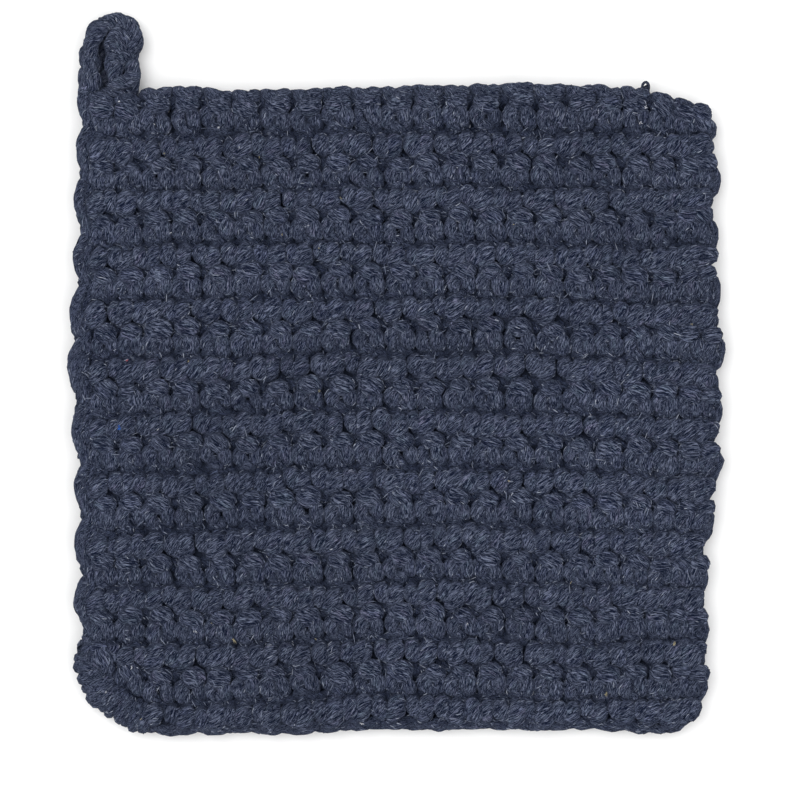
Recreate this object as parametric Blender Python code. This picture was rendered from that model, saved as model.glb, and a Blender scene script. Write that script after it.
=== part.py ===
"""Square pot holder, crocheted back and forth in thick dark blue cotton yarn, lying flat
with its better side up, and the crocheted hanging loop at its top left corner.

Frame: +X to the right, +Y towards the edge with the loop, +Z up. The origin is under the
middle of the whole object, on the surface that it lies on. Metres in the scene, and
millimetres in the tables below, which MM turns into metres.
"""
import math

import bmesh
import bpy

for old in list(bpy.data.objects):
    bpy.data.objects.remove(old, do_unlink=True)

MM = 0.001

# ---- driving sizes, in millimetres ---------------------------------------------------------
THICK = 9.5        # panel: one row of stitches is two strands of 4.6 mm yarn deep
RIDGE = 1.3        # how far the line between two bands of stitches sinks below them
LOOP_THICK = 7.6   # the loop is a single crochet chain, thinner than the panel
GAP = 0.3          # between the loop's feet and the panel's edge
FOOT_Y = 88.6      # the panel's top edge where the loop stands on it

# How the panel's rim rounds over, from its outermost line inwards: how far in from the
# outline, and how far below the face, as a share of half the thickness.
RIM_COLUMNS = ("inset", "drop")
RIM = (
    (0.0, 1.00),
    (0.6, 0.52),
    (1.7, 0.20),
    (3.4, 0.00),
)

# The scalloped sides, top to bottom. Each pair of rows makes one scallop, where the yarn
# turns from one row of stitches to the next.
LEFT_COLUMNS = ("bulge_y", "bulge_x", "notch_y", "notch_x")
LEFT = (
    (83.6, -98.1, 76.2, -96.5),
    (67.6, -98.5, 57.7, -97.6),
    (52.8, -99.2, 42.6, -97.2),
    (35.8, -99.4, 27.2, -97.9),
    (18.8, -100.8, 10.2, -99.3),
    (4.0, -101.8, -8.6, -98.2),
    (-17.9, -99.9, -27.5, -97.3),
    (-34.9, -99.2, -44.4, -96.7),
    (-53.4, -99.0, -62.0, -96.8),
    (-70.7, -99.2, -79.3, -96.7),
    (-89.8, -99.2, -97.5, -96.4),
)
RIGHT_COLUMNS = ("bulge_y", "bulge_x", "notch_y", "notch_x")
RIGHT = (
    (76.2, 98.8, 69.1, 97.7),
    (60.2, 100.3, 49.7, 97.5),
    (43.2, 99.7, 34.9, 97.4),
    (26.2, 100.3, 17.9, 99.0),
    (8.3, 101.8, -0.3, 98.9),
    (-10.8, 101.1, -19.1, 98.2),
    (-26.8, 100.8, -37.0, 96.7),
    (-41.4, 98.7, -53.7, 95.2),
    (-58.6, 96.9, -69.4, 94.9),
    (-78.1, 96.7, -86.1, 94.6),
    (-93.5, 96.5, -101.8, 94.2),
)

# The top edge, left to right: nearly square at the loop's corner, rounded at the other.
TOP_COLUMNS = ("x", "y")
TOP = (
    (-98.0, 85.8),
    (-97.2, 87.3),
    (-95.6, 88.4),
    (-92.4, FOOT_Y),
    (-78.5, FOOT_Y),
    (-70.8, 89.2),
    (-51.7, 87.6),
    (-36.9, 87.3),
    (-18.4, 88.3),
    (7.6, 89.0),
    (40.9, 90.0),
    (55.7, 88.9),
    (74.2, 88.0),
    (81.6, 87.0),
    (89.0, 84.9),
    (92.7, 83.9),
    (95.4, 82.4),
    (97.4, 80.6),
    (98.4, 78.4),
)

# The bottom edge, left to right: a strongly rounded corner, a slightly wavy hem, and a
# smaller rounding at the right.
BOTTOM_COLUMNS = ("x", "y")
BOTTOM = (
    (-96.4, -97.5),
    (-94.0, -100.6),
    (-90.6, -104.2),
    (-86.9, -106.6),
    (-79.5, -109.4),
    (-71.1, -111.2),
    (-60.0, -111.4),
    (-31.3, -111.0),
    (-1.7, -109.7),
    (27.9, -109.3),
    (61.3, -109.8),
    (76.1, -110.9),
    (84.5, -110.2),
    (89.2, -108.2),
    (92.6, -105.6),
    (94.2, -102.6),
)

# The sunk line under each band of stitches, top to bottom: its height at the left side,
# in the middle and at the right side. The lines bow upwards a little in the middle.
LINE_COLUMNS = ("left", "middle", "right")
LINES = (
    (72.6, 75.0, 73.2),
    (55.8, 57.7, 57.0),
    (39.0, 40.4, 39.4),
    (22.6, 24.1, 21.8),
    (5.0, 6.8, 4.2),
    (-13.2, -10.5, -13.4),
    (-31.0, -28.4, -30.8),
    (-49.2, -46.2, -48.2),
    (-66.4, -63.6, -65.2),
    (-84.0, -81.0, -82.4),
    (-98.5, -98.8, -100.6),
)

# The loop, from its left foot up, over and down to its right foot: the middle of the chain
# and how wide it lies there. The slit between its legs is about 2 mm wide.
LOOP_COLUMNS = ("x", "y", "width")
LOOP = (
    (-94.3, FOOT_Y + GAP, 6.2),
    (-94.7, 92.6, 6.5),
    (-94.6, 97.0, 6.7),
    (-93.2, 101.8, 6.9),
    (-90.5, 106.0, 6.9),
    (-86.7, 107.7, 7.3),
    (-83.2, 105.5, 7.8),
    (-82.5, 101.0, 9.0),
    (-83.6, 96.4, 10.2),
    (-84.0, 92.6, 10.5),
    (-83.8, FOOT_Y + GAP, 10.5),
)

YARN = (0.041, 0.050, 0.078, 1.0)   # dark blue, linear


# ---- helpers --------------------------------------------------------------------------------
def material(name, colour, roughness):
    mat = bpy.data.materials.new(name)
    mat.use_nodes = True
    bsdf = mat.node_tree.nodes["Principled BSDF"]
    bsdf.inputs["Base Color"].default_value = colour
    bsdf.inputs["Roughness"].default_value = roughness
    bsdf.inputs["Metallic"].default_value = 0.0
    return mat


def ease(f):
    """0 to 1 with a level start and end."""
    return 0.5 - 0.5 * math.cos(math.pi * min(max(f, 0.0), 1.0))


def scallop_x(table, y):
    """x of a scalloped side at height y."""
    knots = []
    for bulge_y, bulge_x, notch_y, notch_x in table:
        knots += [(bulge_y, bulge_x), (notch_y, notch_x)]
    if y >= knots[0][0]:
        return knots[0][1]
    for (y0, x0), (y1, x1) in zip(knots, knots[1:]):
        if y >= y1:
            return x0 + (x1 - x0) * ease((y0 - y) / (y0 - y1))
    return knots[-1][1]


def along(table, f):
    """Point at the share f of a polyline's length."""
    lengths = [math.dist(a, b) for a, b in zip(table, table[1:])]
    left = f * sum(lengths)
    for a, b, length in zip(table, table[1:], lengths):
        if left <= length or b is table[-1]:
            k = min(left / length, 1.0)
            return a[0] + (b[0] - a[0]) * k, a[1] + (b[1] - a[1]) * k
        left -= length
    return table[-1]


def through(left, middle, right, f):
    """A line that bows through its left, middle and right heights."""
    s = 2.0 * f - 1.0
    return middle + (right - left) / 2.0 * s + ((right + left) / 2.0 - middle) * s * s


def rim_drop(inset):
    """Share of half the thickness lost at this distance inside the outline."""
    for (i0, d0), (i1, d1) in zip(RIM, RIM[1:]):
        if inset <= i1:
            return d0 + (d1 - d0) * (inset - i0) / (i1 - i0)
    return 0.0


# ---- the panel ------------------------------------------------------------------------------
def panel_mesh():
    """One closed slab. Its top follows the bands of stitches and its underside is flat."""
    width = 196.0
    height = 200.0
    columns = [r[0] / width for r in RIM]
    step = 8.0 / width
    while columns[-1] + step < 1.0 - RIM[-1][0] / width - 0.4 * step:
        columns.append(columns[-1] + step)
    columns += [1.0 - r[0] / width for r in reversed(RIM)]

    # stations up the panel: (share of the height, line index or None, how far the ridge sinks)
    mid_bottom = along(BOTTOM, 0.5)[1]
    mid_top = along(TOP, 0.5)[1]
    heights = [mid_bottom] + [row[1] for row in reversed(LINES)] + [mid_top]
    sinks = ((0.0, 1.0), (0.2, 0.25), (0.5, 0.0), (0.8, 0.25))
    stations = []
    for band in range(len(heights) - 1):
        for share, sink in sinks:
            first = band == 0 and share == 0.0
            stations.append((band + share, 0.0 if first else sink))
    last = float(len(heights) - 1)
    low_span = heights[1] - heights[0]
    high_span = heights[-1] - heights[-2]
    low = [(r[0] / low_span, 0.0) for r in RIM]
    high = [(last - r[0] / high_span, 0.0) for r in reversed(RIM)]
    stations = [s for s in stations if low[-1][0] + 0.08 < s[0] < high[0][0] - 0.08]
    stations = low + stations + high

    def height_at(band, f):
        """y of the station at this share of the width, before the edges' own shape."""
        table = [tuple([mid_bottom] * 3)] + list(reversed(LINES)) + [tuple([mid_top] * 3)]
        k = min(int(band), len(table) - 2)
        a = through(*table[k], f)
        b = through(*table[k + 1], f)
        return a + (b - a) * (band - k)

    def point(f, band):
        bx, by = along(BOTTOM, f)
        tx, ty = along(TOP, f)
        fade_low = 1.0 - ease(band / 2.2)
        fade_high = 1.0 - ease((last - band) / 1.6)
        y = height_at(band, f) + fade_low * (by - mid_bottom) + fade_high * (ty - mid_top)
        y_left = height_at(band, 0.0) + fade_low * (BOTTOM[0][1] - mid_bottom) \
            + fade_high * (TOP[0][1] - mid_top)
        y_right = height_at(band, 1.0) + fade_low * (BOTTOM[-1][1] - mid_bottom) \
            + fade_high * (TOP[-1][1] - mid_top)
        x0 = scallop_x(LEFT, y_left)
        x1 = scallop_x(RIGHT, y_right)
        x = x0 + (x1 - x0) * f
        bottom_x = BOTTOM[0][0] + (BOTTOM[-1][0] - BOTTOM[0][0]) * f
        top_x = TOP[0][0] + (TOP[-1][0] - TOP[0][0]) * f
        x += fade_low * (bx - bottom_x) + fade_high * (tx - top_x)
        return x, y

    bm = bmesh.new()
    rows = len(stations)
    cols = len(columns)
    rim = len(RIM) - 1
    top = {}
    under = {}
    for j, (band, sink) in enumerate(stations):
        for i, f in enumerate(columns):
            x, y = point(f, band)
            ring = min(i, j, cols - 1 - i, rows - 1 - j)
            inset = RIM[min(ring, rim)][0]
            drop = rim_drop(inset) * THICK / 2.0
            z = THICK - drop - (sink * RIDGE if ring >= rim else 0.0)
            top[i, j] = bm.verts.new((x * MM, y * MM, z * MM))
            if 0 < ring <= rim:
                under[i, j] = bm.verts.new((x * MM, y * MM, drop * MM))
            elif ring == 0:
                under[i, j] = top[i, j]
    for j in range(rows - 1):
        for i in range(cols - 1):
            bm.faces.new((top[i, j], top[i + 1, j], top[i + 1, j + 1], top[i, j + 1]))
            quad = [(i, j), (i, j + 1), (i + 1, j + 1), (i + 1, j)]
            if all(q in under for q in quad):
                bm.faces.new([under[q] for q in quad])
    a, b, c, d = rim, cols - 1 - rim, rim, rows - 1 - rim
    ring = [(i, c) for i in range(a, b)] + [(b, j) for j in range(c, d)]
    ring += [(i, d) for i in range(b, a, -1)] + [(a, j) for j in range(d, c, -1)]
    bm.faces.new([under[q] for q in reversed(ring)])
    mesh = bpy.data.meshes.new("crochet_panel")
    bmesh.ops.recalc_face_normals(bm, faces=bm.faces)
    bm.to_mesh(mesh)
    bm.free()
    return mesh


# ---- the hanging loop -----------------------------------------------------------------------
def smooth_rows(table, per_span):
    """Rows read from a smooth curve through the table's rows."""
    rows = []
    n = len(table)
    for k in range(n - 1):
        p0, p1, p2, p3 = (table[max(k - 1, 0)], table[k], table[k + 1], table[min(k + 2, n - 1)])
        for s in range(per_span):
            t = s / per_span
            rows.append(tuple(
                0.5 * (2 * b + (c - a) * t + (2 * a - 5 * b + 4 * c - d) * t * t
                       + (3 * b - a - 3 * c + d) * t ** 3)
                for a, b, c, d in zip(p0, p1, p2, p3)))
    rows.append(table[-1])
    return rows


def loop_mesh(sides=12, per_span=2):
    """The chain as one bent bar, rounded over and flat underneath, open between its legs."""
    rows = smooth_rows(LOOP, per_span)
    bm = bmesh.new()
    rings = []
    for k, (x, y, w) in enumerate(rows):
        x0, y0 = rows[max(k - 1, 0)][:2]
        x1, y1 = rows[min(k + 1, len(rows) - 1)][:2]
        length = math.hypot(x1 - x0, y1 - y0)
        across = ((y1 - y0) / length, -(x1 - x0) / length)
        if k in (0, len(rows) - 1):     # both feet stand square on the panel's edge
            across = (math.copysign(1.0, across[0]), 0.0)
        ring = []
        for s in range(sides):
            angle = 2.0 * math.pi * (s + 0.5) / sides
            c, d = math.cos(angle), math.sin(angle)
            side = math.copysign(abs(c) ** 0.85, c) * w / 2.0
            up = LOOP_THICK / 2.0 * (1.0 + math.copysign(abs(d) ** 0.8, d)
                                     / math.sin(math.pi * (0.5 - 1.0 / sides)) ** 0.8)
            up = max(up, 0.0)
            ring.append(bm.verts.new(((x + across[0] * side) * MM, (y + across[1] * side) * MM,
                                      up * MM)))
        rings.append(ring)
    for a, b in zip(rings, rings[1:]):
        for s in range(sides):
            t = (s + 1) % sides
            bm.faces.new((a[s], a[t], b[t], b[s]))
    bm.faces.new(list(reversed(rings[0])))
    bm.faces.new(rings[-1])
    mesh = bpy.data.meshes.new("hanging_loop")
    bmesh.ops.recalc_face_normals(bm, faces=bm.faces)
    bm.to_mesh(mesh)
    bm.free()
    return mesh


# ---- build ----------------------------------------------------------------------------------
holder = bpy.data.objects.new("pot_holder", None)
bpy.context.scene.collection.objects.link(holder)

for name, mesh, mat in (
    ("crochet_panel", panel_mesh(), material("panel_yarn", YARN, 0.9)),
    ("hanging_loop", loop_mesh(), material("loop_yarn", YARN, 0.9)),
):
    obj = bpy.data.objects.new(name, mesh)
    mesh.materials.append(mat)
    bpy.context.scene.collection.objects.link(obj)
    obj.parent = holder
    mesh.shade_smooth()
    mesh.set_sharp_from_angle(angle=math.radians(40))
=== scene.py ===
import math

import bpy
import numpy as np
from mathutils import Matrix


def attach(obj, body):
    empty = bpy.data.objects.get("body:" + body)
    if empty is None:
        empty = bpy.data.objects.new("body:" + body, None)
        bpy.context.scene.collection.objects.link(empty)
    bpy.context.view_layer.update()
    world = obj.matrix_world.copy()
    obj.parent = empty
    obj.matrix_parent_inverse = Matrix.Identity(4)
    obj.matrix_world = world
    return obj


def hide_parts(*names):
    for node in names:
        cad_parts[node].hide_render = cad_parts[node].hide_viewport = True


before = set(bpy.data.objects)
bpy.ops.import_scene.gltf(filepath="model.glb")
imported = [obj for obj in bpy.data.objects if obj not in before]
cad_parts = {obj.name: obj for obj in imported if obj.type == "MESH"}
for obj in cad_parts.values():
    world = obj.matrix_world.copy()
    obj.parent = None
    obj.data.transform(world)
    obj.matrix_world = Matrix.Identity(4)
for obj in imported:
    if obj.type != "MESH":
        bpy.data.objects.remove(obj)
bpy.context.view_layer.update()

# All lengths in the tables are in units of PX, the size of one picture pixel on the cloth, in metres.
PX = 0.0003086
X0, Y0 = 395.5, 374.0        # picture position of the frame's origin
PIT = 29.6                   # one stitch along a row
ROW = 28.15                  # one row
TURN = 15.0                  # how far the stitches of a returning row are offset
SQ = 1.35                    # how much flatter than wide the worked yarn lies
N_ROWS, N_ST = 22, 22
SIDES = 8
RNG = np.random.RandomState(1947)

# ---------------------------------------------------------------- the worked stitch
# One single-crochet stitch as a yarn path: along the row, up the row, towards the worked side, yarn radius.
STITCH = [
    # down the far side from the last head
    (-22.5, 26.5, 2.2, 5.8), (-15.8, 24.0, 0.4, 6.0), (-12.2, 20.0, -5.6, 8.4), (-13.0, 15.4, -9.0, 10.7),
    (-15.8, 10.8, -6.4, 8.8), (-16.4, 6.0, -0.4, 6.2), (-12.6, 1.5, 0.8, 5.8),
    # first leg, up the worked side
    (-4.6, 3.4, 0.5, 5.7), (-4.8, 8.2, 6.4, 7.6), (-6.6, 12.8, 9.6, 9.2), (-8.2, 17.6, 7.8, 7.6), (-7.6, 22.8, 2.2, 6.0),
    (0.0, 28.0, 0.0, 5.8), (2.0, 26.0, -4.0, 6.0), (6.0, 21.0, -2.5, 5.8), (9.4, 20.5, 2.0, 5.8),
    # second leg, down the worked side
    (8.2, 17.4, 7.6, 7.4), (7.2, 12.8, 9.4, 9.0), (9.6, 8.2, 6.8, 7.6), (14.2, 5.2, 3.0, 6.4), (15.4, 0.5, -0.5, 5.7),
    # up the far side beside the next stitch
    (9.0, 2.4, -2.4, 6.6), (5.4, 8.5, -7.2, 9.8), (3.8, 14.5, -9.0, 10.8), (2.4, 18.8, -6.4, 9.0), (0.6, 23.2, 0.4, 5.7),
    # head, near side
    (1.5, 27.0, 0.0, 5.5), (7.0, 26.0, 0.5, 6.0), (11.8, 24.4, 5.0, 8.8), (13.8, 24.4, 8.6, 10.2),
    (16.6, 24.8, 10.2, 11.0), (19.6, 25.0, 8.4, 10.2), (21.8, 24.8, 4.0, 8.3), (24.5, 24.2, 0.0, 6.0), (28.0, 25.5, 0.0, 5.8),
    # head, far side
    (27.0, 27.5, -3.0, 5.8), (21.0, 27.5, -2.4, 5.6), (12.5, 27.5, 1.0, 5.2), (6.5, 31.0, -3.0, 6.0),
    (1.5, 34.0, -6.8, 6.8), (-3.0, 31.0, -3.5, 6.0), (-3.5, 27.5, -1.0, 5.8),
]
# The heads of the last row have nothing worked into them: both sides of a head lie close together along the edge.
STITCH_TOP = STITCH[:27] + [
    (7.0, 26.5, 0.5, 6.2), (11.4, 26.0, 5.0, 9.2), (13.6, 26.2, 8.6, 11.0), (16.6, 26.4, 9.8, 11.6), (19.6, 26.2, 8.0, 10.4), (22.0, 26.4, 3.8, 8.2),
    (24.8, 25.5, 0.0, 6.2), (28.0, 26.5, 0.0, 5.8), (28.0, 30.0, 0.0, 5.8),
    (26.0, 33.0, 1.5, 6.4), (21.5, 34.8, 6.2, 8.4), (15.0, 35.2, 7.4, 9.0), (8.5, 34.6, 4.6, 7.8),
    (3.0, 32.0, -2.0, 6.4), (-3.0, 29.0, -4.0, 6.0), (-2.5, 27.5, -1.0, 6.0),
]

# Angle of the spun fibres to the strand, point by point.
LAY = np.full(len(STITCH), 0.50); LAY[1:6] = 1.05; LAY[20:26] = 0.78; LAY[28:34] = 0.72
LAY_TOP = np.r_[LAY[:27], np.full(len(STITCH_TOP) - 27, 0.40)]

# ---------------------------------------------------------------- where rows and columns lie
NECKS = [87, 115, 142, 172, 202, 232, 262, 292, 322, 352.5, 383, 413, 444, 473, 503, 533, 564, 593, 622, 652, 676, 698]
GROOVE_X = [120, 180, 245, 315, 385, 455, 525, 595, 665]
GROOVE_Y = [
    (137, 134, 133, 133, 131, 130, 129, 131, 135), (192, 189, 189, 187, 187, 187, 187, 186, 188),
    (247, 244, 244, 243, 242, 243, 242, 243, 246), (298, 299, 299, 296, 296, 296, 297, 300, 303),
    (357, 355, 356, 353, 351, 353, 351, 357, 360), (415, 409, 411, 410, 407, 409, 410, 412, 417),
    (473, 469, 468, 467, 465, 466, 468, 470, 473), (532, 529, 528, 526, 525, 523, 525, 527, 529),
    (587, 584, 584, 582, 580, 580, 580, 583, 584), (644, 644, 642, 639, 637, 637, 638, 641, 639),
    (704, 704, 701, 698, 694, 695, 696, 698, 699),
]
HOLE_Y = [104, 163.5, 216, 271, 327, 384, 440, 498, 559, 613, 670]
FOOT_Y = (719, 730, 731, 728, 726, 726, 725.5, 727, 723)
BULGE_L = [(103, 78.5), (148, 76.2), (203, 74.5), (258, 73.7), (313, 70.2), (361, 68.5), (432, 72.3), (487, 74.4), (547, 75.0), (603, 74.3), (665, 75.0)]
BULGE_R = [(127, 715), (179, 720), (234, 718), (289, 720), (347, 724), (409, 722.5), (461, 721.6), (508, 715), (564, 710), (627, 709), (677, 708), (711, 703)]


def gauss_smooth(a, sigma, axis):
    n = int(3 * sigma) + 1
    k = np.exp(-0.5 * (np.arange(-n, n + 1) / sigma) ** 2); k /= k.sum()
    return np.apply_along_axis(lambda r: np.convolve(np.r_[2 * r[0] - r[n:0:-1], r, 2 * r[-1] - r[-2:-n - 2:-1]], k, "valid"), axis, a)


# columns: lattice coordinate -> picture x, for rows worked to the right and for returning rows
_lu = np.concatenate([[-60.0, -30.0, -13.0], np.arange(N_ST) * PIT, [(N_ST - 1) * PIT + t for t in (15.0, 28.0, 42.0, 80.0)]])
_gu = np.arange(-60.0, 701.0, 1.0)
_gx = {
    False: gauss_smooth(np.interp(_gu, _lu, np.concatenate([[66.0, 76.5, 83.5, 90.0], NECKS[1:-1], [697.0, 709.0, 716.5, 720.0, 724.0]])), 5.0, 0),
    True: gauss_smooth(np.interp(_gu, _lu, np.concatenate([[60.0, 73.0, 79.5], NECKS[:-1], [696.0, 703.5, 708.5, 712.0, 716.0]])), 5.0, 0),
}

# rows: (picture x, lattice height) -> picture y
_px = np.arange(40.0, 761.0, 10.0)
_vg = np.arange(-60.0, 700.0, 1.0)
_tab = []
for _x in _px:
    g = [float(np.interp(_x, GROOVE_X, r)) for r in GROOVE_Y]
    mid = [float(np.interp(385.0, GROOVE_X, r)) for r in GROOVE_Y]
    kv, ky = [], []
    for m in range(11, 0, -1):
        base = (23 - 2 * m) * ROW
        bow = g[m - 1] - mid[m - 1]
        if m > 1:
            bow = 0.5 * (bow + g[m - 2] - mid[m - 2])
        kv += [base, base + 25.0]
        ky += [g[m - 1], HOLE_Y[m - 1] + bow]
    foot = float(np.interp(_x, GROOVE_X, FOOT_Y))
    kv = [-33.0, -3.0] + kv + [kv[-1] + 50.0]
    ky = [foot + 29.0, foot] + ky + [ky[-1] - 49.0]
    y = np.interp(_vg, kv, ky)
    _tab.append(y)
_tab = gauss_smooth(gauss_smooth(np.array(_tab), 5.0, 1), 2.0, 0)


def bilinear(tab, fx, fy):
    fx = np.clip(fx, 0, tab.shape[0] - 1.001); fy = np.clip(fy, 0, tab.shape[1] - 1.001)
    i, j = fx.astype(int), fy.astype(int)
    a, b = fx - i, fy - j
    return (tab[i, j] * (1 - a) * (1 - b) + tab[i + 1, j] * a * (1 - b) + tab[i, j + 1] * (1 - a) * b + tab[i + 1, j + 1] * a * b)


def noise_field(cell, amp):
    """A smooth seeded field over the cloth, in picture units."""
    n = int(900 / cell) + 4
    t = RNG.normal(size=(n, n))
    t = gauss_smooth(gauss_smooth(np.kron(t, np.ones((4, 4))), 3.0, 0), 3.0, 1)
    t *= amp / t.std()
    return lambda x, y: bilinear(t, (x + 20) / cell * 4, (y + 20) / cell * 4)


NX1, NY1 = noise_field(34.0, 1.3), noise_field(34.0, 1.1)
NX2, NY2 = noise_field(15.0, 0.75), noise_field(15.0, 0.7)
NZ1 = noise_field(60.0, 0.55)
EDGE_R = gauss_smooth(np.interp(np.arange(0.0, 860.0, 2.0), [p[0] for p in BULGE_R], [p[1] for p in BULGE_R]), 12.0, 0)


def place(U, V, back):
    """Lattice coordinates -> picture coordinates."""
    x = np.interp(U, _gu, _gx[back])
    y = bilinear(_tab, (x - 40.0) / 10.0, V + 60.0)
    # the right border runs in below the middle
    edge = np.interp(y, np.arange(0.0, 860.0, 2.0), EDGE_R)
    t = np.clip((x - 470.0) / 240.0, 0, 1)
    x = x + (edge - 718.5) * t * t
    return x, y


# The bottom left corner is drawn in: its last stitches are pressed together and the edge runs round them.
CORNER_X = [66.0, 75.0, 80.0, 87.0, 104.0, 125.0, 146.0, 158.0]
CORNER_K = [0.0, 0.02, 0.06, 0.15, 0.38, 0.68, 0.95, 1.0]
CORNER_S = [0.55, 0.78, 1.10, 1.36, 1.50, 1.36, 1.05, 1.0]


def corner(x, y):
    k = np.interp(x, CORNER_X, CORNER_K); s = np.interp(x, CORNER_X, CORNER_S)
    mid = 644.0 + (y - 644.0) * k
    out = np.where(y < 644.0, y, np.where(y < 704.0, mid, 644.0 + 60.0 * k + (y - 704.0) * s))
    # soften the bend at the upper end
    t = np.clip((y - 624.0) / 40.0, 0, 1)
    return np.where(y < 664.0, y + (out - y) * t, out)


# How far the outline is drawn in or out, every 6 units along the left, right, top and bottom edge.
# TRIM begins
TRIM = {
    "L": (92, [-4.6, -8.3, -8.2, -2.4, 2.4, 6.3, 7.0, 5.6, 4.2, 2.6, 3.4, 3.2, 0.6, -2.2, -1.0, 3.0, 5.9, 3.5, 3.7, 3.9, 1.2, -0.9, -0.1, 2.7, 4.6, 5.2, 4.4, 2.3, 1.4, 0.4, -1.6, -1.9, 1.5, 1.7, -1.7, -4.1, -4.9, -5.1, -5.0, -7.9, -11.7, -12.2, -8.1, -4.2, -7.4, -10.5, -5.7, -2.4, -2.3, -3.4, -4.0, -1.9, -2.6, -4.8, -1.2, 2.8, 4.1, 1.9, -0.7, -3.2, -2.8, -0.2, -0.9, 0.2, -0.6, -2.3, -1.7, -0.9, -2.3, -3.4, -0.4, 1.1, 2.7, 3.2, 1.9, 1.6, 0.5, -1.8, -3.2, -0.0, 7.0, 7.4, 7.8, 6.8, 4.5, 1.6, -0.0, -1.2, -0.3, 4.7, 4.4, 1.0, 3.6, -0.3, -2.7, -3.9, -8.3, -10.3, -7.9, -7.1, -5.2, -3.1]),
    "R": (112, [-5.5, 2.9, 7.3, 5.4, 6.2, 3.3, 0.6, -1.0, -3.9, -0.5, 2.2, 2.1, 1.4, 0.8, -2.2, -3.2, -5.2, -9.2, -5.3, -0.7, 0.9, 1.4, 3.0, 3.1, -1.9, -6.2, -7.9, -5.4, -0.0, 0.8, 1.0, 2.1, 4.5, 2.4, -1.3, 1.5, -0.9, -3.6, 0.4, 2.7, 1.3, 0.6, 0.7, -2.1, -5.1, -0.3, 1.6, -3.5, -3.7, 1.5, 2.9, 3.4, 3.8, -0.1, -0.4, 2.0, -0.8, 2.8, 5.8, 3.3, 1.4, 2.1, 2.0, -0.8, -1.4, -2.5, -0.7, 1.3, -0.4, -1.4, -0.4, -0.3, -6.6, -6.8, -1.8, -2.8, -1.2, 1.1, 0.2, -1.2, -4.2, -5.5, -0.8, -2.3, -5.0, -1.4, 0.7, -0.6, 0.1, -0.9, -5.0, -3.0, 1.4, -1.3, -2.2, -0.1, -0.3, -3.2, -4.1, -0.2]),
    "T": (146, [-8.3, -4.5, -0.8, -5.0, -13.9, -10.9, -3.8, -1.5, -5.3, -11.0, -8.0, -1.0, 3.6, 3.1, -3.1, -4.8, 0.5, 3.3, -0.7, -6.0, -2.1, 2.8, 4.7, -0.2, -6.9, -5.4, 1.1, 3.5, -0.4, -6.5, -4.1, 2.0, 2.1, -1.3, -5.7, -3.3, 2.2, 3.1, -0.2, -5.0, -3.1, 2.6, 5.5, 1.9, -6.2, -6.6, -0.1, 2.6, 1.2, -4.3, -7.7, -2.6, 0.2, -3.4, -9.3, -7.0, -1.5, 0.4, -4.2, -8.8, -6.0, -1.2, 0.8, -1.2, -5.7, -7.6, -1.3, 1.5, -0.4, -6.0, -10.4, -4.5, 1.0, -0.4, -6.6, -11.1, -4.8, 1.3, -0.6, -8.4, -8.2, -0.5, -0.2, -3.7, -1.2, 0.5, 4.9, 5.6, 1.7, 6.4, 10.5, 7.3, 14.4]),
    "B": (90, [4.4, 14.3, 21.0, 19.6, 15.2, 12.5, 3.7, -4.9, -1.6, 4.8, 2.1, -0.8, 2.9, 4.6, 1.7, -0.3, 1.6, 1.9, -0.1, 0.4, 2.4, 2.7, 3.8, 2.8, 0.3, 0.5, 1.7, 2.8, 3.3, 2.3, 3.8, 5.9, 5.7, 4.6, 4.6, 5.1, 6.6, 8.2, 7.1, 6.3, 7.8, 9.1, 7.8, 4.9, 4.6, 4.4, 5.3, 4.6, 2.0, 0.9, 1.2, 3.1, 5.5, 3.0, 2.6, 1.5, 1.9, 5.2, 4.6, 1.2, 0.8, 2.0, 4.3, 2.0, 0.0, -0.5, 1.4, 5.2, 4.8, 3.8, 4.0, 6.1, 5.8, 4.6, 3.2, 3.7, 5.7, 4.2, 0.7, -0.9, -0.9, 1.8, 1.6, -1.3, -2.2, -0.0, 2.4, 0.7, -2.0, -2.5, -0.1, 4.2, 4.7, 1.8, 1.7, 4.9, 7.2, 5.7, 2.5, 0.9, -4.5, -2.2]),
}
# TRIM ends


def ease(t):
    t = np.clip(t, 0, 1)
    return t * t * (3 - 2 * t)


def trim(x, y):
    def at(side, q):
        a, v = TRIM[side]
        return np.interp(q, np.r_[a - 14.0, a + 6.0 * np.arange(len(v))], np.r_[v[0] if side != "T" else 0.0, v])
    dx = at("L", y) * ease(1 - (x - 78.0) / 36.0) + at("R", y) * ease(1 - (712.0 - x) / 36.0)
    dy = at("T", x) * ease(1 - (y - 90.0) / 44.0) + at("B", x) * ease(1 - (728.0 - y) / 34.0)
    return x + dx, y + dy


def wobble(x, y):
    x, y = x + NX1(x, y) + NX2(x, y), y + NY1(x, y) + NY2(x, y)
    return trim(x, corner(x, y))


def press(z):
    """The crests of the worked yarn are pressed a little flat."""
    a = np.abs(z)
    return np.sign(z) * (a - 0.40 * 1.2 * np.log1p(np.exp((a - 9.0) / 1.2)))


def catmull(pts, sub=8):
    p = np.asarray(pts, float)
    p = np.vstack([2 * p[0] - p[1], p, 2 * p[-1] - p[-2]])
    t = np.linspace(0, 1, sub, endpoint=False)[:, None]
    out = []
    for k in range(1, len(p) - 2):
        a, b, c, d = p[k - 1], p[k], p[k + 1], p[k + 2]
        out.append(0.5 * (2 * b + (c - a) * t + (2 * a - 5 * b + 4 * c - d) * t * t + (3 * b - a - 3 * c + d) * t ** 3))
    out.append(p[-2][None])
    return np.vstack(out)


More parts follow.
